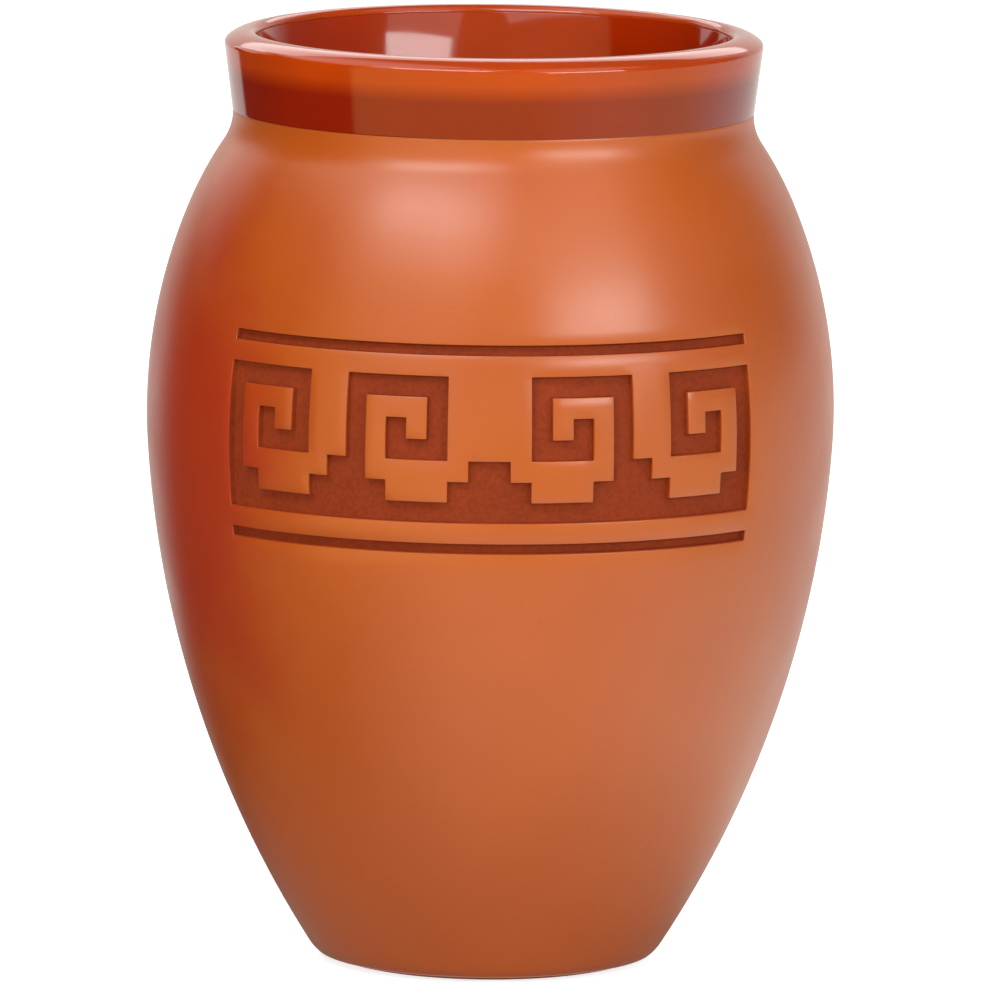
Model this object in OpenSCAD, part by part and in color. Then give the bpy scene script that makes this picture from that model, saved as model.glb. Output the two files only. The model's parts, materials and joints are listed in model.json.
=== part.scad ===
// Clay shot cup: a one-piece earthenware jar with a satin slip outside, a gloss glaze on its rim and a
// gloss liner glaze inside. The outline is a chain of tangent arcs, and the hollow and every coat follow it
// at an even distance. A step fret is scratched through the slip on the front. The cup stands at the origin
// on its foot, with +Z along its axis and its front towards -Y. Millimetres.

/* [Belly] */
// Widest diameter of the clay
belly_d = 49.6; // [46:0.1:54]
// Height of the widest point above the table
belly_z = 40.3; // [37:0.1:44]
// Radius of the arc through the widest point
belly_arc = 38.7; // [34:0.1:44]
// Radius of the long arc from the belly down to the foot
flank_arc = 77.3; // [65:0.1:95]

/* [Shoulder and neck] */
// Angle above the widest point at which the shoulder starts to turn in
shoulder_from = 23; // [12:0.5:32]
// Radius of the shoulder arc
shoulder_arc = 25.6; // [22:0.1:30]
// Diameter of the clay at the narrowest part of the neck
neck_d = 37.4; // [32:0.1:41]
// Radius of the hollow between shoulder and collar
neck_cove = 4.2; // [2.5:0.1:7]

/* [Collar and lip] */
// Height of the collar's straight side
collar_h = 4.4; // [2:0.1:9]
// Lean of the collar's straight side away from the axis, over its height
collar_lean = 0.56; // [0:0.01:1.2]
// Radius of the outer edge of the clay lip
lip_edge = 0.26; // [0.15:0.01:0.6]
// Radius of the crown of the clay lip
lip_crown = 2.31; // [2.1:0.01:5]
// Radius of the inner edge of the clay lip
lip_in = 0.35; // [0.2:0.01:0.8]

/* [Wall and foot] */
// Thickness of the clay wall
wall = 1.9; // [1.4:0.1:2.5]
// Height of the clay floor above the table
clay_floor = 3; // [2.2:0.1:5]
// Radius of the corner between floor and wall, inside
floor_round = 7; // [4:0.1:9]
// Outer diameter of the flat that the cup stands on
foot_d = 20.6; // [19:0.1:22.5]
// Radius of the outer edge of the foot
foot_round = 2.95; // [2:0.05:4]
// Diameter of the dished underside
dish_d = 15; // [10:0.1:17]
// Depth of the dished underside
dish_h = 0.9; // [0.5:0.05:1.2]

/* [Coats] */
// Thickness of the satin slip outside
slip_t = 0.2; // [0.15:0.01:0.4]
// Height above the table at which the slip was wiped off the foot
slip_edge = 0.4; // [0.3:0.05:2]
// Thickness of the gloss glaze
glaze_t = 0.25; // [0.15:0.01:0.4]
// Height of the glaze line above the narrowest part of the neck
glaze_line = 0.2; // [-1:0.1:1.5]

/* [Fret] */
// Squares of the fret that would go right round the belly
fret_squares = 104; // [96:4:120]
// Squares of the fret's band that lie below the start of the belly arc
fret_drop = 3; // [0:0.5:6]

/* [Hidden] */
$fn = 180;

// Wider than the cup, for shapes that cut right across it
reach = belly_d;
// Cuts run this far past the surface that they open
clear = 1;

function polar(radius, angle) = radius * [cos(angle), sin(angle)];
function bearing(from, to) = atan2(to[1] - from[1], to[0] - from[0]);
// Slabs meet at whole ten-thousandths, so that neighbours share the same height
function level(z) = round(z * 10000) / 10000;

// Centres of the arcs, as [radius, height] in the half-section
belly_c = [belly_d / 2 - belly_arc, belly_z];
foot_c = [foot_d / 2, foot_round];
shoulder_c = belly_c + polar(belly_arc - shoulder_arc, shoulder_from);

// The flank arc touches the belly arc and the edge of the foot from inside, so its centre closes a triangle
flank_to_belly = flank_arc - belly_arc;
flank_to_foot = flank_arc - foot_round;
foot_to_belly = norm(foot_c - belly_c);
flank_apex = acos((pow(flank_to_belly, 2) + pow(foot_to_belly, 2) - pow(flank_to_foot, 2))
    / (2 * flank_to_belly * foot_to_belly));
flank_c = belly_c + polar(flank_to_belly, bearing(belly_c, foot_c) - flank_apex);

// The neck cove touches the shoulder arc from outside
cove_r = neck_d / 2 + neck_cove;
cove_rise = sqrt(pow(shoulder_arc + neck_cove, 2) - pow(cove_r - shoulder_c[0], 2));
cove_c = [cove_r, shoulder_c[1] + cove_rise];

// Angles at which one arc hands over to the next
flank_end = bearing(flank_c, belly_c);
shoulder_end = bearing(shoulder_c, cove_c);

// The collar's straight side leaves the cove and ends at the outer edge of the lip
slope = collar_lean / collar_h;
flare = atan(slope);
collar_side = [collar_lean, collar_h];
collar_out = [cos(flare), -sin(flare)];
edge_c = cove_c + collar_side - (neck_cove + lip_edge) * collar_out;

// The crown starts level at the crest and touches the outer edge. The crest stands over the inner edge,
// which leans with the wall, so its height above the outer edge is the root of a quadratic.
crest_gap = (wall - lip_edge - lip_in) / cos(flare) + slope * lip_in;
root_a = 1 + pow(slope, 2);
root_b = lip_crown + slope * crest_gap;
root_c = pow(lip_crown, 2) + pow(crest_gap, 2) - pow(lip_crown - lip_edge, 2);
crest_rise = (root_b - sqrt(pow(root_b, 2) - root_a * root_c)) / root_a;
crest = edge_c + [slope * crest_rise - crest_gap, crest_rise];
crown_c = crest - [0, lip_crown];
inner_c = crest - [0, lip_in];
crown_end = bearing(crown_c, edge_c);

// The corner of the floor touches the inside of the flank
floor_z = clay_floor + floor_round;
floor_run = sqrt(pow(flank_arc - wall - floor_round, 2) - pow(floor_z - flank_c[1], 2));
floor_c = [flank_c[0] + floor_run, floor_z];

// Heights at which the coats end
glaze_z = cove_c[1] + glaze_line;
liner_top = inner_c[1] + lip_in * sin(flare);

// The fret's squares, in degrees round the axis and in millimetres along the wall
square_turn = 360 / fret_squares;
square_h = PI * belly_d / fret_squares;

// Outline of the fret's left half, in whole squares across and up, from its lower left corner to its middle
FRET = [
    // Outer hook
    [0, 0], [0, 7], [5, 7], [5, 3], [2, 3], [2, 5], [3, 5], [3, 4], [4, 4], [4, 6], [1, 6], [1, 2],
    // Steps between the hooks
    [2, 2], [2, 1], [5, 1], [5, 2], [6, 2], [6, 3],
    // Inner hook
    [7, 3], [7, 7], [12, 7], [12, 3], [9, 3], [9, 5], [10, 5], [10, 4], [11, 4], [11, 6], [8, 6], [8, 2],
    // Steps up to the middle
    [9, 2], [9, 1], [12, 1], [12, 2], [13, 2], [13, 3]
];
// Width of the whole fret, in squares
fret_across = 28;
// Grooves below and above the fret, as heights in squares
FRET_GROOVES = [[-1.5, -1], [8, 8.5]];

// Moves a shape to a point, by whole tenths and then by the rest, which keeps the small digits
module at(point) {
    tenths = [round(point[0] * 10), round(point[1] * 10)] / 10;
    translate(tenths)
        translate(point - tenths)
            children();
}

// Everything from the axis out to a radius, between two heights
module slab(radius, from, to) {
    translate([0, level(from)])
        square([radius, level(to) - level(from)]);
}

// The part of a disc between two heights
module arc_slab(centre, radius, from, to) {
    intersection() {
        at(centre)
            circle(radius);
        slab(reach, from, to);
    }
}

// Filled half-section of the body, from a rounded corner below up to a height on the collar, with its
// surface moved outwards by a distance. Slabs meet where one arc hands over to the next.
module body_section(out, corner, corner_r, top) {
    bottom = corner[1] - corner_r;
    flank_from = flank_c[1] + (flank_arc + out) * sin(bearing(flank_c, corner));
    belly_from = flank_c[1] + (flank_arc + out) * sin(flank_end);
    turn_from = belly_c[1] + (belly_arc + out) * sin(shoulder_from);
    cove_from = shoulder_c[1] + (shoulder_arc + out) * sin(shoulder_end);
    collar_from = cove_c + (out - neck_cove) * collar_out;
    slab(corner[0], bottom, flank_from);
    arc_slab(corner, corner_r, bottom - clear, flank_from);
    arc_slab(flank_c, flank_arc + out, flank_from, belly_from);
    arc_slab(belly_c, belly_arc + out, belly_from, turn_from);
    arc_slab(shoulder_c, shoulder_arc + out, turn_from, cove_from);
    difference() {
        slab(cove_c[0], cove_from, collar_from[1]);
        at(cove_c)
            circle(neck_cove - out);
    }
    intersection() {
        at(collar_from)
            polygon([-collar_side, 2 * collar_side, [-reach, 2 * collar_h], [-reach, -collar_h]]);
        slab(reach, collar_from[1], top);
    }
}

// Filled half-section of the outside with its lip, moved outwards by a distance
module outside(out) {
    edge_from = edge_c[1] - (lip_edge + out) * sin(flare);
    crown_from = crown_c[1] + (lip_crown + out) * sin(crown_end);
    body_section(out, foot_c, foot_round + out, edge_from);
    slab(edge_c[0], edge_from, crown_from);
    arc_slab(edge_c, lip_edge + out, edge_from, crown_from);
    arc_slab(crown_c, lip_crown + out, crown_from, crest[1] + out + clear);
}

// Filled half-section of the hollow, open at the top, made smaller all round by a coat
module hollow(coat) {
    mouth_from = inner_c[1] + (lip_in + coat) * sin(flare);
    body_section(-wall - coat, floor_c, floor_round - coat, mouth_from);
    difference() {
        slab(inner_c[0], mouth_from, crest[1] + coat + clear);
        at(inner_c)
            circle(lip_in + coat);
    }
}

// Half-section of the shallow dish in the underside, a cap of a ball
module dish() {
    ball = (pow(dish_d / 2, 2) + pow(dish_h, 2)) / (2 * dish_h);
    arc_slab([0, dish_h - ball], ball, -clear, dish_h + clear);
}

// The cast vessel: foot, floor, belly, shoulder, neck, collar and lip in one piece
module clay_body() {
    color("#b4623c")
        rotate_extrude()
            difference() {
                outside(0);
                hollow(0);
                dish();
            }
}

// Height on the wall at a number of squares above the fret's lower edge
function fret_z(squares) =
    let (rise = (squares - FRET_GROOVES[0][0] - fret_drop) * square_h * 180 / PI)
    rise < 0
        ? flank_c[1] + flank_arc * sin(flank_end + rise / flank_arc)
        : belly_c[1] + belly_arc * sin(flank_end + rise / belly_arc);

// Where a point of the fret lies as seen from the front, when its squares are wrapped round the belly
function wrapped(point) =
    [belly_d / 2 * sin((point[0] - fret_across / 2) * square_turn), fret_z(point[1])];

// The fret and its grooves, as shapes cut straight in from the front
module fret() {
    right = [for (i = [len(FRET) - 1 : -1 : 0]) [fret_across - FRET[i][0], FRET[i][1]]];
    rotate([90, 0, 0])
        linear_extrude(reach) {
            polygon([for (point = concat(FRET, right)) wrapped(point)]);
            for (groove = FRET_GROOVES) {
                low = wrapped([0, groove[0]]);
                high = wrapped([fret_across, groove[1]]);
                translate(low)
                    square(high - low);
            }
        }
}

// Satin coat on the outside, from the wiped foot up to the glaze line, with the fret scratched through it
module satin_slip() {
    color("#c4622f")
        difference() {
            rotate_extrude()
                difference() {
                    intersection() {
                        outside(slip_t);
                        slab(reach, slip_edge, glaze_z);
                    }
                    outside(0);
                }
            fret();
        }
}

// Half-section of the clay with its hollow filled up to the top of the liner, which the rim glaze goes round
module filled_section() {
    difference() {
        outside(0);
        intersection() {
            hollow(0);
            slab(reach, liner_top, crest[1] + clear);
        }
    }
}

// Dipped gloss coat: the collar from the glaze line up, then over the lip and its inner edge
module rim_glaze() {
    color("#9c3510")
        rotate_extrude()
            difference() {
                intersection() {
                    outside(glaze_t);
                    slab(reach, glaze_z, crest[1] + clear);
                }
                filled_section();
                hollow(glaze_t);
            }
}

// Poured gloss coat over the whole inside, up to the inner edge of the lip
module liner_glaze() {
    color("#a33a12")
        rotate_extrude()
            difference() {
                intersection() {
                    hollow(0);
                    slab(reach, 0, liner_top);
                }
                hollow(glaze_t);
            }
}

clay_body();
satin_slip();
rim_glaze();
liner_glaze();
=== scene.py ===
import json
from math import acos, asin, atan, atan2, cos, degrees, pi, radians, sin, sqrt

import bmesh
import bpy
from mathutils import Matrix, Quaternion, Vector

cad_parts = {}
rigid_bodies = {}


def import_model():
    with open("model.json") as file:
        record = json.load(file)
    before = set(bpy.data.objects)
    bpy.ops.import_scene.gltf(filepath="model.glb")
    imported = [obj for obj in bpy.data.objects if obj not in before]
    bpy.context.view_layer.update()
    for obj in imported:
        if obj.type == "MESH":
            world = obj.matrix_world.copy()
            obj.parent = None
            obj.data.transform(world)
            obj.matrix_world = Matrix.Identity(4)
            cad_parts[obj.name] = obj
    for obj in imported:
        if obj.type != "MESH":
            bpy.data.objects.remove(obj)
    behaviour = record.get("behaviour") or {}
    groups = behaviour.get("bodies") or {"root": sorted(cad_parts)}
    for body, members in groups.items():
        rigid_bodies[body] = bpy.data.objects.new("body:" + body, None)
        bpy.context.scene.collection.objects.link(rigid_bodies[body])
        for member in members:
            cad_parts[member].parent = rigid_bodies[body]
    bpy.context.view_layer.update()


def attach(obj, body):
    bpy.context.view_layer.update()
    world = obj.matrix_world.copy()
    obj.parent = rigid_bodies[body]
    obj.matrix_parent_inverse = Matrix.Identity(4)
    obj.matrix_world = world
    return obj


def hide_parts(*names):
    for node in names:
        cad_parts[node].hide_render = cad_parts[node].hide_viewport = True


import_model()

# Clay vessel: red earthenware cast in one piece, from the dished foot up to the rounded lip, and fired.
# A band of step frets is cut into its belly. Only the foot and that cut show bare clay.
MM = 0.001

BELLY_R = 24.8 * MM
BELLY_Z = 40.3 * MM
BELLY_ARC = 38.7 * MM
FLANK_ARC = 77.3 * MM
SHOULDER_FROM = 23
SHOULDER_ARC = 25.6 * MM
NECK_R = 18.7 * MM
NECK_COVE = 4.2 * MM
COLLAR_H = 4.4 * MM
COLLAR_LEAN = 0.56 * MM
LIP_EDGE = 0.26 * MM
LIP_CROWN = 2.31 * MM
LIP_IN = 0.35 * MM
WALL = 1.9 * MM
CLAY_FLOOR = 3 * MM
FLOOR_ROUND = 7 * MM
FOOT_R = 10.3 * MM
FOOT_ROUND = 2.95 * MM
DISH_R = 7.5 * MM
DISH_H = 0.9 * MM


def polar(radius, angle):
    return Vector((radius * cos(radians(angle)), radius * sin(radians(angle))))


def bearing(start, end):
    return degrees(atan2(end.y - start.y, end.x - start.x))


# Centres of the outline's tangent arcs, as radius and height in the half-section
belly_c = Vector((BELLY_R - BELLY_ARC, BELLY_Z))
foot_c = Vector((FOOT_R, FOOT_ROUND))
shoulder_c = belly_c + polar(BELLY_ARC - SHOULDER_ARC, SHOULDER_FROM)
flank_to_belly = FLANK_ARC - BELLY_ARC
flank_to_foot = FLANK_ARC - FOOT_ROUND
foot_to_belly = (foot_c - belly_c).length
flank_apex = degrees(acos((flank_to_belly ** 2 + foot_to_belly ** 2 - flank_to_foot ** 2)
                          / (2 * flank_to_belly * foot_to_belly)))
flank_c = belly_c + polar(flank_to_belly, bearing(belly_c, foot_c) - flank_apex)
cove_r = NECK_R + NECK_COVE
cove_rise = sqrt((SHOULDER_ARC + NECK_COVE) ** 2 - (cove_r - shoulder_c.x) ** 2)
cove_c = Vector((cove_r, shoulder_c.y + cove_rise))
flank_start = bearing(flank_c, foot_c)
flank_end = bearing(flank_c, belly_c)
shoulder_end = bearing(shoulder_c, cove_c)

# The collar leans out to the edge of the lip, and the lip's crown is level over its inner edge
slope = COLLAR_LEAN / COLLAR_H
flare = degrees(atan(slope))
edge_c = cove_c + Vector((COLLAR_LEAN, COLLAR_H)) - polar(NECK_COVE + LIP_EDGE, -flare)
crest_gap = (WALL - LIP_EDGE - LIP_IN) / cos(radians(flare)) + slope * LIP_IN
root_a = 1 + slope ** 2
root_b = LIP_CROWN + slope * crest_gap
root_c = LIP_CROWN ** 2 + crest_gap ** 2 - (LIP_CROWN - LIP_EDGE) ** 2
crest_rise = (root_b - sqrt(root_b ** 2 - root_a * root_c)) / root_a
crest = edge_c + Vector((slope * crest_rise - crest_gap, crest_rise))
crown_c = crest - Vector((0, LIP_CROWN))
inner_c = crest - Vector((0, LIP_IN))
crown_end = bearing(crown_c, edge_c)

# The floor's corner touches the inside of the flank
floor_z = CLAY_FLOOR + FLOOR_ROUND
floor_run = sqrt((FLANK_ARC - WALL - FLOOR_ROUND) ** 2 - (floor_z - flank_c.y) ** 2)
floor_c = Vector((flank_c.x + floor_run, floor_z))
floor_end = bearing(flank_c, floor_c)
dish_arc = (DISH_R ** 2 + DISH_H ** 2) / (2 * DISH_H)
dish_c = Vector((0, DISH_H - dish_arc))

# One half of the fret, from its top row down, where a hash is a square cell to cut. The other half mirrors it
FRET = (
    "#####..#####..",
    "#...#..#...#..",
    "#.#.#..#.#.#..",
    "#.###..#.###..",
    "#.....##.....#",
    "##...####...##",
    "##############",
)
# A cell is two wheel steps wide and two rows of faces high. A groove one row high runs above and below
WHEEL_STEPS = 208
CELL_STEPS = 2
GAP_ROWS = 2
ROWS_UNDER = 6
ROWS_OVER = 14
wheel_step = 360 / WHEEL_STEPS
row_h = 2 * pi * BELLY_R / WHEEL_STEPS
flank_row = degrees(row_h / FLANK_ARC)
belly_row = degrees(row_h / BELLY_ARC)
fret_from = flank_end - ROWS_UNDER * flank_row
fret_to = flank_end + ROWS_OVER * belly_row
CUT_DEPTH = 0.35 * MM
CUT_SLANT = 0.06 * MM
CUT_ROUND = 0.05 * MM
ROUND_STEPS = 2
SMOOTH_BELOW = radians(40)


def start_line(name, point):
    """Starts a piece as one point of its half-section, in edit mode."""
    bpy.ops.object.select_all(action="DESELECT")
    bpy.ops.mesh.primitive_plane_add(size=MM)
    piece = bpy.context.object
    piece.name = piece.data.name = name
    bpy.ops.object.mode_set(mode="EDIT")
    bpy.ops.mesh.merge(type="CENTER")
    bpy.ops.transform.translate(value=(point.x, 0, point.y))
    return piece


def line_to(point):
    """Extrudes the end of the line straight to a point."""
    end = next(v.co.copy() for v in bmesh.from_edit_mesh(bpy.context.object.data).verts if v.select)
    step = Vector((point.x, 0, point.y)) - end
    bpy.ops.mesh.extrude_region_move(TRANSFORM_OT_translate={"value": step})


def arc(centre, turn, steps):
    """Swings the end of the line round a centre, as with compasses. A positive turn is anticlockwise."""
    bpy.ops.mesh.spin(steps=steps, angle=radians(turn), center=(centre.x, 0, centre.y), axis=(0, 1, 0))


def draw_body():
    """Draws on from the foot's edge up to the cove of the neck, with even rows where the fret lies."""
    arc(flank_c, fret_from - flank_start, steps=28)
    arc(flank_c, flank_end - fret_from, steps=ROWS_UNDER)
    arc(belly_c, fret_to - flank_end, steps=ROWS_OVER)
    arc(belly_c, SHOULDER_FROM - fret_to, steps=8)
    arc(shoulder_c, shoulder_end - SHOULDER_FROM, steps=18)


def draw_lip(coat):
    """Draws on from the cove along the collar and over the lip to its inner edge."""
    line_to(edge_c + polar(LIP_EDGE + coat, -flare))
    arc(edge_c, crown_end + flare, steps=8)
    arc(crown_c, 90 - crown_end, steps=10)
    arc(inner_c, 90 - flare, steps=8)


def draw_hollow(coat):
    """Draws on from the lip's inner edge down the inside to the middle of the floor."""
    line_to(cove_c - polar(NECK_COVE + WALL + coat, -flare))
    arc(cove_c, shoulder_end + flare, steps=14)
    arc(shoulder_c, SHOULDER_FROM - shoulder_end, steps=14)
    arc(belly_c, flank_end - SHOULDER_FROM, steps=16)
    arc(flank_c, floor_end - flank_end, steps=20)
    arc(floor_c, -90 - floor_end, steps=16)
    line_to(Vector((0, CLAY_FLOOR + coat)))


def turn_on_wheel():
    """Spins the line that was drawn round the cup's axis, and leaves the whole skin selected."""
    bpy.ops.mesh.select_all(action="SELECT")
    bpy.ops.mesh.spin(steps=WHEEL_STEPS, angle=2 * pi, center=(0, 0, 0), axis=(0, 0, 1))
    bpy.ops.mesh.select_all(action="SELECT")
    bpy.ops.mesh.remove_doubles(threshold=0.002 * MM)
    bpy.ops.mesh.normals_make_consistent(inside=False)


def radius_of(point):
    return Vector((point.x, point.y)).length


def fret_row(point):
    """The row of faces that a point of the outside lies in, counted up from the lower groove."""
    half_section = Vector((radius_of(point), point.z))
    on_flank = bearing(flank_c, half_section)
    if on_flank < flank_end:
        return (on_flank - fret_from) // flank_row
    return ROWS_UNDER + (bearing(belly_c, half_section) - flank_end) // belly_row


def in_fret(point):
    """Says whether a point of the outside lies in a cell of the fret or in one of its grooves."""
    top_row = ROWS_UNDER + ROWS_OVER - 1
    columns = len(FRET[0])
    row = fret_row(point)
    column = degrees(atan2(point.x, -point.y)) / (wheel_step * CELL_STEPS) + columns
    if not (0 <= row <= top_row and 0 <= column < 2 * columns):
        return False
    if row in (0, top_row):
        return True
    line = int((top_row - 1 - GAP_ROWS - row) // CELL_STEPS)
    mirrored = 2 * columns - 1 - int(column)
    return 0 <= line < len(FRET) and FRET[line][min(int(column), mirrored)] == "#"


def select_fret(skin_r):
    """Selects the faces of the outside that the fret cuts away. Faces further in than a radius stay."""
    bpy.ops.mesh.select_all(action="DESELECT")
    mesh = bmesh.from_edit_mesh(bpy.context.object.data)
    for face in mesh.faces:
        middle = face.calc_center_median()
        if radius_of(middle) > skin_r:
            face.select_set(in_fret(middle))
    bmesh.update_edit_mesh(bpy.context.object.data)


clay = start_line("vessel", Vector((0, DISH_H)))
arc(dish_c, -degrees(asin(DISH_R / dish_arc)), steps=12)
line_to(Vector((FOOT_R, 0)))
arc(foot_c, flank_start + 90, steps=10)
draw_body()
arc(cove_c, -flare - shoulder_end, steps=10)
draw_lip(0)
draw_hollow(0)
turn_on_wheel()
select_fret(BELLY_R - WALL / 2)
bpy.ops.mesh.inset(thickness=CUT_SLANT, depth=-CUT_DEPTH)
# The walls of the cut take its finish along with its floor
bpy.ops.object.material_slot_add()
bpy.ops.object.material_slot_add()
clay.active_material_index = 1
bpy.ops.mesh.select_more()
bpy.ops.object.material_slot_assign()
bpy.ops.mesh.select_less()
bpy.ops.mesh.region_to_loop()
bpy.ops.mesh.bevel(offset=CUT_ROUND, segments=ROUND_STEPS)
bpy.ops.object.mode_set(mode="OBJECT")
bpy.ops.object.shade_smooth_by_angle(angle=SMOOTH_BELOW)

BARE_PALE = (0.42, 0.13, 0.05)
BARE_DEEP = (0.33, 0.09, 0.033)
CUT_PALE = (0.31, 0.038, 0.004)
CUT_DEEP = (0.26, 0.030, 0.003)
CLAY_CLOUD = 6 * MM
GROG = 0.35 * MM
GROG_SHADE = (0.75, 0.72, 0.7)
CLAY_TOOTH = 0.25 * MM
CLAY_TOOTH_DEPTH = 0.03 * MM
NO_SHADE = (1, 1, 1)


def add_node(finish, kind, **settings):
    node = finish.node_tree.nodes.new(kind)
    for name, value in settings.items():
        setattr(node, name, value)
    return node


def link(finish, start, end):
    finish.node_tree.links.new(start, end)


def new_finish(name):
    """A material with its shader and Object coordinates to build on."""
    finish = bpy.data.materials.new(name)
    finish.use_nodes = True
    shader = finish.node_tree.nodes["Principled BSDF"]
    place = add_node(finish, "ShaderNodeTexCoord").outputs["Object"]
    return finish, shader, place


def grain(finish, place, size, detail=3.0):
    """Noise whose lumps are about a given size."""
    noise = add_node(finish, "ShaderNodeTexNoise")
    noise.inputs["Scale"].default_value = 1 / size
    noise.inputs["Detail"].default_value = detail
    link(finish, place, noise.inputs["Vector"])
    return noise.outputs["Fac"]


def ramp(finish, value, *stops):
    """A colour ramp over a value, from stops of position and colour."""
    node = add_node(finish, "ShaderNodeValToRGB")
    marks = node.color_ramp.elements
    for mark, (position, colour) in ((marks[1], stops[-1]), (marks[0], stops[0])):
        mark.position = position
        mark.color = (*colour, 1)
    for position, colour in stops[1:-1]:
        marks.new(position).color = (*colour, 1)
    link(finish, value, node.inputs["Fac"])
    return node.outputs["Color"]


def blend(finish, amount, first, second, mode="MIX"):
    """Mixes two colours, where each colour and the amount is a value or a socket."""
    node = add_node(finish, "ShaderNodeMix", data_type="RGBA", blend_type=mode)
    factor, one, two = (socket for socket in node.inputs if socket.enabled)
    for socket, value in ((factor, amount), (one, first), (two, second)):
        if isinstance(value, bpy.types.NodeSocket):
            link(finish, value, socket)
        else:
            socket.default_value = value if socket == factor else (*value, 1)
    return next(socket for socket in node.outputs if socket.enabled)


def spread(finish, noise, low, high):
    """Maps the middle range of a noise to a pair of numbers."""
    node = add_node(finish, "ShaderNodeMapRange")
    for name, number in (("From Min", 0.3), ("From Max", 0.7), ("To Min", low), ("To Max", high)):
        node.inputs[name].default_value = number
    link(finish, noise, node.inputs["Value"])
    return node.outputs["Result"]


def bump(finish, shader, value, depth):
    """Gives a surface relief of a real depth."""
    node = add_node(finish, "ShaderNodeBump")
    node.inputs["Distance"].default_value = depth
    link(finish, value, node.inputs["Height"])
    link(finish, node.outputs["Normal"], shader.inputs["Normal"])


def clay_finish(name, pale, deep, roughness):
    """Bare fired clay: mottled, with fine grog and a dry, grainy face."""
    finish, shader, place = new_finish(name)
    tone = ramp(finish, grain(finish, place, CLAY_CLOUD), (0.3, deep), (0.7, pale))
    grog = ramp(finish, grain(finish, place, GROG, detail=2), (0.35, GROG_SHADE), (0.6, NO_SHADE))
    link(finish, blend(finish, 0.7, tone, grog, "MULTIPLY"), shader.inputs["Base Color"])
    shader.inputs["Roughness"].default_value = roughness
    shader.inputs["Specular IOR Level"].default_value = 0.25
    bump(finish, shader, grain(finish, place, CLAY_TOOTH, detail=4), CLAY_TOOTH_DEPTH)
    return finish


clay.material_slots[0].material = clay_finish("bare_clay", BARE_PALE, BARE_DEEP, roughness=0.75)
clay.material_slots[1].material = clay_finish("cut_clay", CUT_PALE, CUT_DEEP, roughness=0.7)
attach(clay, "root")
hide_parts("clay_body")

# Satin slip: a thin coloured clay coat, sprayed over the outside from the wiped foot up to the neck and
# burnished soft. The fret was cut through it, so its edges there are crisp and slightly worn.
SLIP_T = 0.2 * MM
SLIP_EDGE = 0.4 * MM
GLAZE_LINE = 0.2 * MM
SLIP_WORN = 0.06 * MM
WORN_ABOVE = radians(50)


def thicken(piece, thickness, worn):
    """Gives a skin its thickness inwards and takes the sharpness off its edges."""
    solid = piece.modifiers.new("thickness", "SOLIDIFY")
    solid.thickness = thickness
    solid.offset = -1
    solid.use_even_offset = True
    bpy.ops.object.modifier_apply(modifier=solid.name)
    edge = piece.modifiers.new("worn_edges", "BEVEL")
    edge.width = worn
    edge.segments = ROUND_STEPS
    edge.limit_method = "ANGLE"
    edge.angle_limit = WORN_ABOVE
    bpy.ops.object.modifier_apply(modifier=edge.name)
    bpy.ops.object.shade_smooth_by_angle(angle=SMOOTH_BELOW)


slip_foot = -degrees(asin((FOOT_ROUND - SLIP_EDGE) / (FOOT_ROUND + SLIP_T)))
slip_top = degrees(asin(GLAZE_LINE / (NECK_COVE - SLIP_T)))
slip = start_line("slip_coat", foot_c + polar(FOOT_ROUND + SLIP_T, slip_foot))
arc(foot_c, flank_start - slip_foot, steps=8)
draw_body()
arc(cove_c, -slip_top - shoulder_end, steps=10)
turn_on_wheel()
select_fret(0)
bpy.ops.mesh.delete(type="FACE")
bpy.ops.object.mode_set(mode="OBJECT")
thicken(slip, SLIP_T, SLIP_WORN)

SLIP_PALE = (0.52, 0.090, 0.0012)
SLIP_DEEP = (0.47, 0.076, 0.0008)
SLIP_CLOUD = 18 * MM
SLIP_SPECK = 0.5 * MM
SLIP_SPECK_SHADE = (0.72, 0.62, 0.6)
SLIP_POLISH = 5 * MM
SLIP_TOOTH = 0.4 * MM
SLIP_TOOTH_DEPTH = 0.004 * MM
# Painted shade: the slip is painted deeper and redder round one spot on the left front, where that side lies
# in shade, taller than wide and with an uneven edge
PAINTED_SHADE_RED = (0.44, 0.031, 0.0004)
PAINTED_SHADE_AT = Vector((-22, -11, 38)) * MM
PAINTED_SHADE_SQUASH = Vector((1, 1, 0.6))
PAINTED_SHADE_R = 4 * MM
PAINTED_SHADE_FADE = 17 * MM
PAINTED_SHADE_SWAY = 2.5 * MM
PAINTED_SHADE_LUMPS = 9 * MM


def between(finish, value, low, high, easing="LINEAR"):
    """Goes from 0 to 1 as a value goes from low to high."""
    node = add_node(finish, "ShaderNodeMapRange", interpolation_type=easing)
    node.inputs["From Min"].default_value = low
    node.inputs["From Max"].default_value = high
    link(finish, value, node.inputs["Value"])
    return node.outputs["Result"]


satin, shader, place = new_finish("satin_terracotta")
tone = ramp(satin, grain(satin, place, SLIP_CLOUD), (0.3, SLIP_DEEP), (0.7, SLIP_PALE))
squashed = add_node(satin, "ShaderNodeVectorMath", operation="MULTIPLY")
squashed.inputs[1].default_value = PAINTED_SHADE_SQUASH
link(satin, place, squashed.inputs[0])
from_painted_shade = add_node(satin, "ShaderNodeVectorMath", operation="DISTANCE")
from_painted_shade.inputs[1].default_value = PAINTED_SHADE_AT * PAINTED_SHADE_SQUASH
link(satin, squashed.outputs[0], from_painted_shade.inputs[0])
uneven = add_node(satin, "ShaderNodeMath", operation="ADD")
link(satin, from_painted_shade.outputs["Value"], uneven.inputs[0])
link(satin, spread(satin, grain(satin, place, PAINTED_SHADE_LUMPS), -PAINTED_SHADE_SWAY, PAINTED_SHADE_SWAY), uneven.inputs[1])
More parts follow.
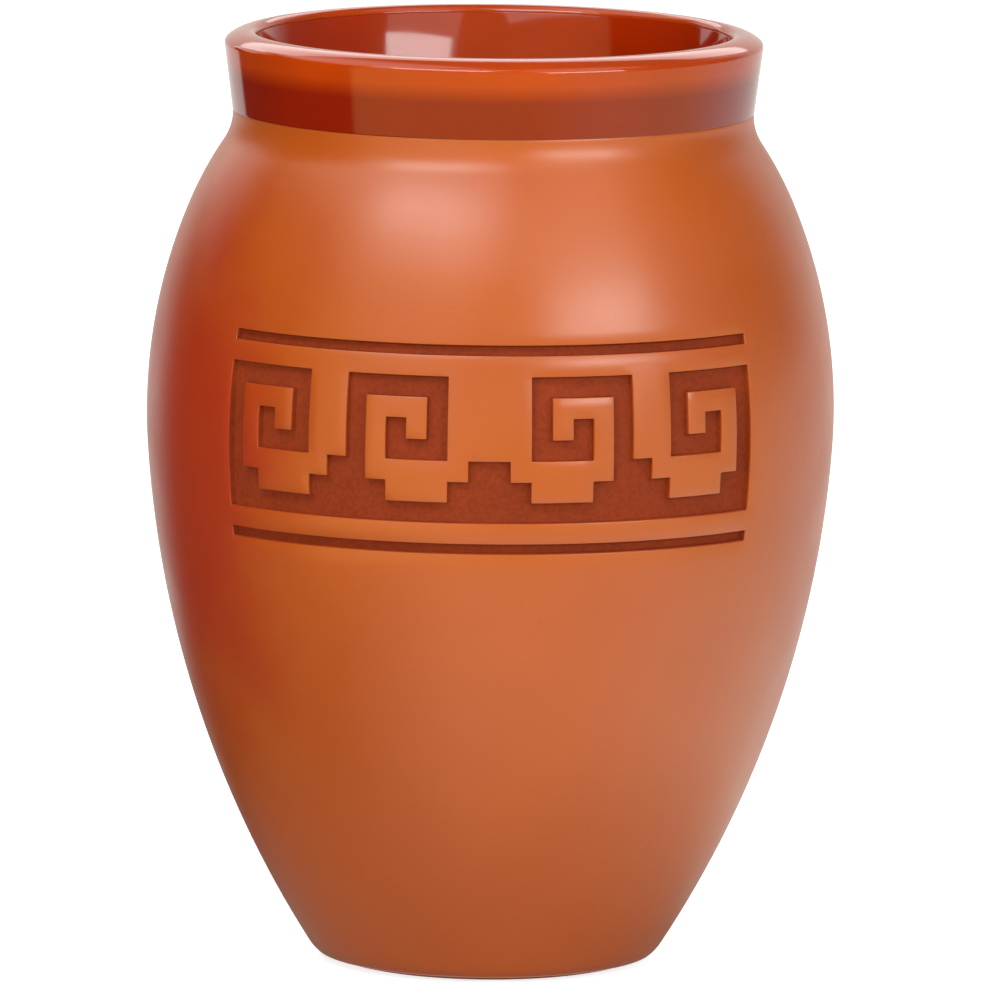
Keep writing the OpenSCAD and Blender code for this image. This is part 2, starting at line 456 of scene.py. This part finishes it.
past_painted_shade = between(satin, uneven.outputs[0], PAINTED_SHADE_R, PAINTED_SHADE_FADE, easing="SMOOTHSTEP")
# Painted shade: mixes the deeper red of the shaded left side into the slip round that spot
tone = blend(satin, past_painted_shade, PAINTED_SHADE_RED, tone)
specks = grain(satin, place, SLIP_SPECK, detail=2)
speck = ramp(satin, specks, (0.27, SLIP_SPECK_SHADE), (0.36, NO_SHADE))
link(satin, blend(satin, 0.15, tone, speck, "MULTIPLY"), shader.inputs["Base Color"])
shader.inputs["IOR"].default_value = 1.72
link(satin, spread(satin, grain(satin, place, SLIP_POLISH), 0.31, 0.37), shader.inputs["Roughness"])
bump(satin, shader, grain(satin, place, SLIP_TOOTH), SLIP_TOOTH_DEPTH)
slip.data.materials.append(satin)
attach(slip, "root")
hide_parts("satin_slip")

# Rim glaze: the collar and lip were dipped in a clear brown gloss glaze, coloured orange over the lip
# and darker brown lower down the collar, towards its line at the neck.
GLAZE_T = 0.25 * MM
GLAZE_WORN = 0.04 * MM
rim_from = degrees(asin(GLAZE_LINE / (NECK_COVE - GLAZE_T)))
rim = start_line("rim_coat", cove_c - polar(NECK_COVE - GLAZE_T, -rim_from))
arc(cove_c, rim_from - flare, steps=2)
draw_lip(GLAZE_T)
turn_on_wheel()
bpy.ops.object.mode_set(mode="OBJECT")
thicken(rim, GLAZE_T, GLAZE_WORN)

RIM_BROWN = (0.29, 0.012, 0.0004)
RIM_ORANGE = (0.54, 0.052, 0.0008)
RIM_RIPPLE = 8 * MM
GLAZE_CLOUD = 7 * MM
GLAZE_CLOUD_SHADE = (0.88, 0.85, 0.85)
GLAZE_POLISH = 2 * MM
GLAZE_RIPPLE_DEPTH = 0.01 * MM


def glaze_finish(name, tone_of, ripple):
    """Fired gloss glaze: clear and smooth, a little cloudy, with a slow ripple."""
    finish, shader, place = new_finish(name)
    cloud = ramp(finish, grain(finish, place, GLAZE_CLOUD), (0.3, GLAZE_CLOUD_SHADE), (0.7, NO_SHADE))
    colour = blend(finish, 1.0, tone_of(finish, place), cloud, "MULTIPLY")
    link(finish, colour, shader.inputs["Base Color"])
    polish = spread(finish, grain(finish, place, GLAZE_POLISH), 0.06, 0.1)
    link(finish, polish, shader.inputs["Roughness"])
    shader.inputs["IOR"].default_value = 1.6
    bump(finish, shader, grain(finish, place, ripple, detail=1), GLAZE_RIPPLE_DEPTH)
    return finish


def height(finish, place):
    """How high a point lies."""
    parts = add_node(finish, "ShaderNodeSeparateXYZ")
    link(finish, place, parts.inputs[0])
    return parts.outputs["Z"]


def rim_tone(finish, place):
    """Orange over the lip, darker brown below it."""
    share = between(finish, height(finish, place), cove_c.y, crest.y)
    return ramp(finish, share, (0.5, RIM_BROWN), (0.72, RIM_ORANGE))


rim.data.materials.append(glaze_finish("rim_gloss", rim_tone, RIM_RIPPLE))
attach(rim, "root")
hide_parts("rim_glaze")

# Liner glaze: the same kind of gloss, poured in and out again, so that the whole inside is sealed.
# It meets the rim glaze at the inner edge of the lip.
liner = start_line("liner_coat", inner_c - polar(LIP_IN + GLAZE_T, -flare))
draw_hollow(GLAZE_T)
turn_on_wheel()
bpy.ops.mesh.normals_make_consistent(inside=True)
bpy.ops.object.mode_set(mode="OBJECT")
thicken(liner, GLAZE_T, GLAZE_WORN)

LINER_PALE = (0.46, 0.028, 0.0005)
LINER_DEEP = (0.42, 0.022, 0.0003)
LINER_RUNS = 12 * MM
LINER_RIPPLE = 9 * MM


def liner_tone(finish, place):
    """Red-brown, a little uneven where the glaze ran."""
    return ramp(finish, grain(finish, place, LINER_RUNS), (0.3, LINER_DEEP), (0.7, LINER_PALE))


liner.data.materials.append(glaze_finish("liner_gloss", liner_tone, LINER_RIPPLE))
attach(liner, "root")
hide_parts("liner_glaze")

# Floor: a plain pale sweep of paper, bigger than any view needs, which keeps the cup's shadow.
# A glow that lights nothing brings it up to the white of the room.
FLOOR_SIZE = 8.0
PAPER = (0.6, 0.6, 0.6, 1)
PAPER_ROUGH = 0.9
PAPER_GLOW = 0.8
WHITE = (1, 1, 1, 1)
bpy.ops.object.select_all(action="DESELECT")
bpy.ops.mesh.primitive_plane_add(size=FLOOR_SIZE)
paper_floor = bpy.context.object
paper_floor.name = "paper_floor"


def seen_ray(owner):
    """One for a ray from the camera, a reflection or a transmission, and zero for light on a surface."""
    path = add_node(owner, "ShaderNodeLightPath")
    seen = path.outputs["Is Camera Ray"]
    for name in ("Is Glossy Ray", "Is Transmission Ray"):
        either = add_node(owner, "ShaderNodeMath", operation="MAXIMUM")
        link(owner, seen, either.inputs[0])
        link(owner, path.outputs[name], either.inputs[1])
        seen = either.outputs[0]
    return seen


paper, shader, _ = new_finish("white_paper")
shader.inputs["Base Color"].default_value = PAPER
shader.inputs["Roughness"].default_value = PAPER_ROUGH
shader.inputs["Emission Color"].default_value = WHITE
glow = add_node(paper, "ShaderNodeMath", operation="MULTIPLY")
glow.inputs[1].default_value = PAPER_GLOW
link(paper, seen_ray(paper), glow.inputs[0])
link(paper, glow.outputs[0], shader.inputs["Emission Strength"])
paper_floor.data.materials.append(paper)

# Studio: a plain white room with soft boxes all round. The fills light the cup without showing in its sheen,
# and the boxes on the left and overhead show in it without lighting the cup.
AMBIENT = 0.22
LIGHT_AIM = Vector((0, 0, 45 * MM))
LIGHT_DISTANCE = 0.6
world = bpy.data.worlds.new("studio")
bpy.context.scene.world = world
world.use_nodes = True
room = world.node_tree.nodes["Background"]
room.inputs["Color"].default_value = WHITE
room_level = add_node(world, "ShaderNodeMapRange")
room_level.inputs["To Min"].default_value = AMBIENT
link(world, seen_ray(world), room_level.inputs["Value"])
link(world, room_level.outputs["Result"], room.inputs["Strength"])


def soft_box(name, azimuth, elevation, size, brightness, lights=True, shows=True):
    """A soft box that faces the cup. Azimuth 0 is the camera's side and 90 the right, and white is 1."""
    lamp = bpy.data.lights.new(name, "AREA")
    lamp.shape = "RECTANGLE"
    lamp.size, lamp.size_y = size
    lamp.energy = brightness * pi * lamp.size * lamp.size_y
    box = bpy.data.objects.new(name, lamp)
    bpy.context.scene.collection.objects.link(box)
    across = polar(cos(radians(elevation)), azimuth - 90)
    box.location = LIGHT_AIM + LIGHT_DISTANCE * Vector((across.x, across.y, sin(radians(elevation))))
    box.rotation_mode = "QUATERNION"
    box.rotation_quaternion = (LIGHT_AIM - box.location).to_track_quat("-Z", "Y")
    box.visible_camera = False
    box.visible_diffuse = lights
    box.visible_glossy = shows


soft_box("top_box", -32, 52, size=(0.50, 0.46), brightness=1.2)
soft_box("top_strip", -26, 45, size=(0.40, 0.11), brightness=6.0)
soft_box("right_box", 38, 32, size=(0.38, 0.46), brightness=0.8)
soft_box("right_strip", 40, 18, size=(0.36, 0.12), brightness=6.0)
soft_box("front_fill", -25, -3, size=(0.50, 0.50), brightness=3.2, shows=False)
soft_box("side_fill", 75, 8, size=(0.50, 0.50), brightness=0.8, shows=False)
soft_box("back_box", 182, 36, size=(0.60, 0.28), brightness=1.8)
soft_box("back_fill", 182, 12, size=(0.60, 0.50), brightness=1.8, shows=False)
soft_box("left_box", 223, 22, size=(0.25, 0.24), brightness=1.1, lights=False)
soft_box("roof_box", 62, 60, size=(0.36, 0.34), brightness=0.8, lights=False)

# Surround: a dome and a table top that are seen only in reflections. A dark card stands on the left, the
# front is warm, the right dim and the back white. The stops are azimuths, from the left round by the front.
ROOM_R = 0.9
ROOM_LIFT = 0.5 * MM
ROOM_HOLE = 10 * MM
DARK = (0.0, 0.0, 0.0)
DIM = (0.12, 0.12, 0.10)
FRONT_WALL = (0.55, 0.48, 0.18)
BACK_WALL = (0.8, 0.8, 0.75)
WALLS = ((-90, DARK), (-62.5, DARK), (-61.5, FRONT_WALL), (45, FRONT_WALL), (75, DIM),
         (122, DIM), (142, BACK_WALL), (214, BACK_WALL), (216, DARK), (270, DARK))
LEFT_TOP = (1.3, 1.3, 1.2)
TOPS = ((-90, LEFT_TOP), (-75, LEFT_TOP), (-50, DIM), (200, DIM), (222, LEFT_TOP), (270, LEFT_TOP))
TOP_FROM = ROOM_R * sin(radians(36))
TOP_FULL = ROOM_R * sin(radians(44))
FRONT_TABLE = (0.85, 0.7, 0.22)
RIGHT_TABLE = (1.0, 0.9, 0.5)
BACK_TABLE = (0.9, 0.9, 0.85)
TABLE = ((-90, DARK), (-62.5, DARK), (-61.5, FRONT_TABLE), (20, FRONT_TABLE), (45, RIGHT_TABLE),
         (90, RIGHT_TABLE), (115, BACK_TABLE), (219, BACK_TABLE), (221, DARK), (270, DARK))
WALL_FROM = 20 * MM
WALL_FULL = 40 * MM
# Near the cup the table is dim all round the foot, and dark on the card's side further out
FOOT_SHADE = (0.28, 0.28, 0.25)
SHADE_FROM = 15 * MM
SHADE_TO = 45 * MM
NEAR_FRONT = (1.0, 1.0, 0.8)
NEAR_RIGHT = (1.3, 1.3, 1.1)
NEAR_BACK = (0.8, 0.8, 0.8)
NEAR_SIDES = ((-90, DARK), (-50, DARK), (-10, NEAR_FRONT), (25, NEAR_FRONT), (60, NEAR_RIGHT),
              (110, NEAR_RIGHT), (150, NEAR_BACK), (190, NEAR_BACK), (230, DARK), (270, DARK))
NEAR_FADE = 99 * MM
NEAR_END = 110 * MM

surround = start_line("surround", Vector((ROOM_HOLE, ROOM_LIFT)))
line_to(Vector((ROOM_R, ROOM_LIFT)))
arc(Vector((0, ROOM_LIFT)), 90, steps=16)
turn_on_wheel()
bpy.ops.object.mode_set(mode="OBJECT")


def around_cup(finish, place, stops):
    """Colours by azimuth. The gradient starts on the left."""
    turn = add_node(finish, "ShaderNodeTexGradient", gradient_type="RADIAL")
    link(finish, place, turn.inputs["Vector"])
    shares = [((azimuth + 90) / 360, colour) for azimuth, colour in stops]
    return ramp(finish, turn.outputs["Fac"], *shares)


backdrop, shader, place = new_finish("reflected_room")
shader.inputs["Base Color"].default_value = (*DARK, 1)
shader.inputs["Roughness"].default_value = 1
shader.inputs["Emission Strength"].default_value = 1
level = height(backdrop, place)
from_cup = add_node(backdrop, "ShaderNodeVectorMath", operation="LENGTH")
link(backdrop, place, from_cup.inputs[0])
distance = from_cup.outputs["Value"]
walls = blend(backdrop, between(backdrop, level, TOP_FROM, TOP_FULL),
              around_cup(backdrop, place, WALLS), around_cup(backdrop, place, TOPS))
far = blend(backdrop, between(backdrop, level, WALL_FROM, WALL_FULL),
            around_cup(backdrop, place, TABLE), walls)
near = blend(backdrop, between(backdrop, distance, SHADE_FROM, SHADE_TO),
             FOOT_SHADE, around_cup(backdrop, place, NEAR_SIDES))
reflected = blend(backdrop, between(backdrop, distance, NEAR_FADE, NEAR_END), near, far)
link(backdrop, reflected, shader.inputs["Emission Color"])
surround.data.materials.append(backdrop)
surround.visible_camera = False
surround.visible_diffuse = False
surround.visible_shadow = False
surround.visible_transmission = False

# Camera: a long lens a little above the cup, turned slightly as the picture is.
# Its aim and distance put the cup's outline on the one in the picture.
VIEW_ELEVATION = 8.336
VIEW_DISTANCE = 0.9964
VIEW_ROLL = 0.6
LENS_WIDTHS = 13.678
AIM = Vector((0, 0, 33 * MM))
AIM_RIGHT = 0.778 * MM
AIM_UP = 0.558 * MM
to_camera = Vector((0, -cos(radians(VIEW_ELEVATION)), sin(radians(VIEW_ELEVATION))))
view_turn = (-to_camera).to_track_quat("-Z", "Y") @ Quaternion((0, 0, 1), radians(VIEW_ROLL))
lens = bpy.data.cameras.new("camera")
lens.lens = LENS_WIDTHS * lens.sensor_width
camera = bpy.data.objects.new("camera", lens)
bpy.context.scene.collection.objects.link(camera)
camera.rotation_mode = "QUATERNION"
camera.rotation_quaternion = view_turn
camera.location = AIM + to_camera * VIEW_DISTANCE + view_turn @ Vector((AIM_RIGHT, AIM_UP, 0))
bpy.context.scene.camera = camera
bpy.context.scene.view_settings.view_transform = "Standard"
